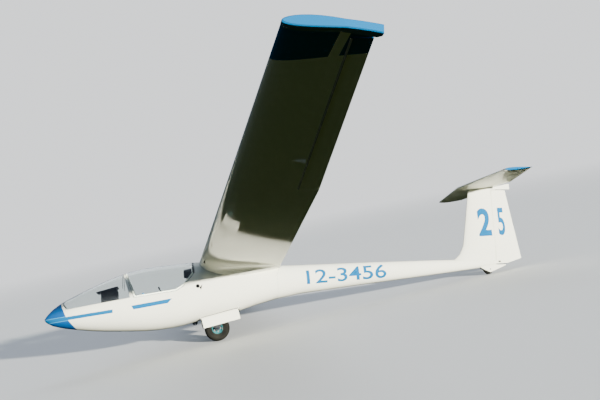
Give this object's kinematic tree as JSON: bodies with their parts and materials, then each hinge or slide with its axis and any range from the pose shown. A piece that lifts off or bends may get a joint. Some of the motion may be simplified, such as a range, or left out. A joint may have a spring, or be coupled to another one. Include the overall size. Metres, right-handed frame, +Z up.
{
  "type": "single-seat sailplane",
  "caption": "Single-seat T-tail sailplane parked on its wheels with one wing tip down; canopy, control surfaces, airbrakes and gear doors move.",
  "frame": {"origin": "centre of the bounding box in x and y, on the ground the wheels and the starboard wing tip stand on", "axes": "+X aft along the fuselage's heading, -X nose, +Y starboard, +Z up; the fuselage is pitched about 9 degrees nose up and rolled about 9 degrees to starboard, as it parks"},
  "size_m": [7.0942, 14.8186, 2.5008],
  "materials": {
    "white_paint": "gloss white gelcoat and paint",
    "blue_paint": "gloss light blue paint",
    "cyan_paint": "worn pale cyan paint",
    "black_trim": "matt black",
    "grey_paint": "satin grey paint",
    "bare_steel": "bare steel and aluminium sheet",
    "tyre_rubber": "dusty black rubber",
    "seat_cloth": "woven seat cloth",
    "clear_acrylic": "clear acrylic sheet"
  },
  "bodies": {
    "airframe": {"fuselage_pod": "white_paint", "windscreen": "clear_acrylic", "seat_pan": "white_paint", "seat_cushion": "seat_cloth", "back_cushion": "seat_cloth", "headrest": "black_trim", "headrest_bracket": "grey_paint", "instrument_panel": "black_trim", "glare_shield": "black_trim", "panel_pedestal": "black_trim", "control_stick": "black_trim", "rudder_pedals": "bare_steel", "side_console_port": "grey_paint", "side_console_starboard": "grey_paint", "airbrake_lever": "blue_paint", "wing_port": "white_paint", "wing_starboard": "white_paint", "wing_tip_port": "blue_paint", "wing_tip_starboard": "blue_paint", "aileron_fairing_port": "white_paint", "aileron_fairing_starboard": "white_paint", "tail_boom": "white_paint", "fin": "white_paint", "tailplane": "white_paint", "tailplane_tip_port": "blue_paint", "tailplane_tip_starboard": "blue_paint", "tailplane_fairing": "white_paint", "main_axle": "bare_steel", "tail_axle": "bare_steel", "main_gear_frame": "grey_paint", "tow_hook": "bare_steel"},
    "main_wheel": {"main_tyre": "tyre_rubber", "main_wheel_hub": "cyan_paint"},
    "tail_wheel": {"tail_tyre": "tyre_rubber", "tail_wheel_hub": "grey_paint"},
    "canopy": {"canopy_glass": "clear_acrylic", "canopy_frame": "white_paint", "canopy_latch": "black_trim"},
    "aileron_port": {"aileron_port": "white_paint"},
    "aileron_starboard": {"aileron_starboard": "white_paint"},
    "elevator": {"elevator": "white_paint"},
    "rudder": {"rudder": "white_paint"},
    "gear_door_port": {"gear_door_port": "white_paint"},
    "gear_door_starboard": {"gear_door_starboard": "white_paint"},
    "airbrake_port": {"airbrake_port": "bare_steel"},
    "airbrake_starboard": {"airbrake_starboard": "bare_steel"}
  },
  "joints": [
    {"name": "main_wheel_spin", "type": "hinge", "parent": "airframe", "child": "main_wheel", "pos_m": [-1.33593, -0.178, 0.1728], "axis": [-0.0259, 0.9871, -0.1577], "continuous": true},
    {"name": "tail_wheel_spin", "type": "hinge", "parent": "airframe", "child": "tail_wheel", "pos_m": [2.82892, -0.08372, 0.07863], "axis": [-0.0259, 0.9871, -0.1577], "continuous": true},
    {"name": "canopy_hinge", "type": "hinge", "parent": "airframe", "child": "canopy", "pos_m": [-2.0448, 0.21461, 0.74948], "axis": [-0.9971, -0.0274, 0.0713], "range_deg": [0, 80]},
    {"name": "aileron_port_hinge", "type": "hinge", "parent": "airframe", "child": "aileron_port", "pos_m": [-0.77444, -6.01159, 2.11864], "axis": [0.0588, 0.9756, -0.2113], "range_deg": [-20, 20]},
    {"name": "aileron_starboard_hinge", "type": "hinge", "parent": "airframe", "child": "aileron_starboard", "pos_m": [-1.08955, 5.99214, 0.20113], "axis": [-0.1104, 0.9886, -0.1024], "range_deg": [-20, 20]},
    {"name": "elevator_hinge", "type": "hinge", "parent": "airframe", "child": "elevator", "pos_m": [3.18389, 0.12156, 1.30535], "axis": [-0.0259, 0.9871, -0.1577], "range_deg": [-25, 20]},
    {"name": "rudder_hinge", "type": "hinge", "parent": "airframe", "child": "rudder", "pos_m": [3.10459, 0.01792, 0.66958], "axis": [0.1957, 0.1597, 0.9676], "range_deg": [-30, 30]},
    {"name": "gear_door_port_hinge", "type": "hinge", "parent": "airframe", "child": "gear_door_port", "pos_m": [-1.26468, -0.27805, 0.37821], "axis": [-0.999, -0.0312, -0.0309], "range_deg": [-10, 30]},
    {"name": "gear_door_starboard_hinge", "type": "hinge", "parent": "airframe", "child": "gear_door_starboard", "pos_m": [-1.27157, -0.01547, 0.33626], "axis": [0.999, 0.0312, 0.0309], "range_deg": [-10, 30]},
    {"name": "airbrake_port_slide", "type": "slide", "parent": "airframe", "child": "airbrake_port", "axis": [0.3199, 0.1754, 0.9311], "range_m": [0, 0.08]},
    {"name": "airbrake_starboard_slide", "type": "slide", "parent": "airframe", "child": "airbrake_starboard", "axis": [0.3208, 0.1398, 0.9368], "range_m": [0, 0.08]}
  ],
  "couplings": [
    {"joint": "aileron_starboard_hinge", "follows": "aileron_port_hinge", "ratio": -1},
    {"joint": "airbrake_starboard_slide", "follows": "airbrake_port_slide", "ratio": 1}
  ]
}
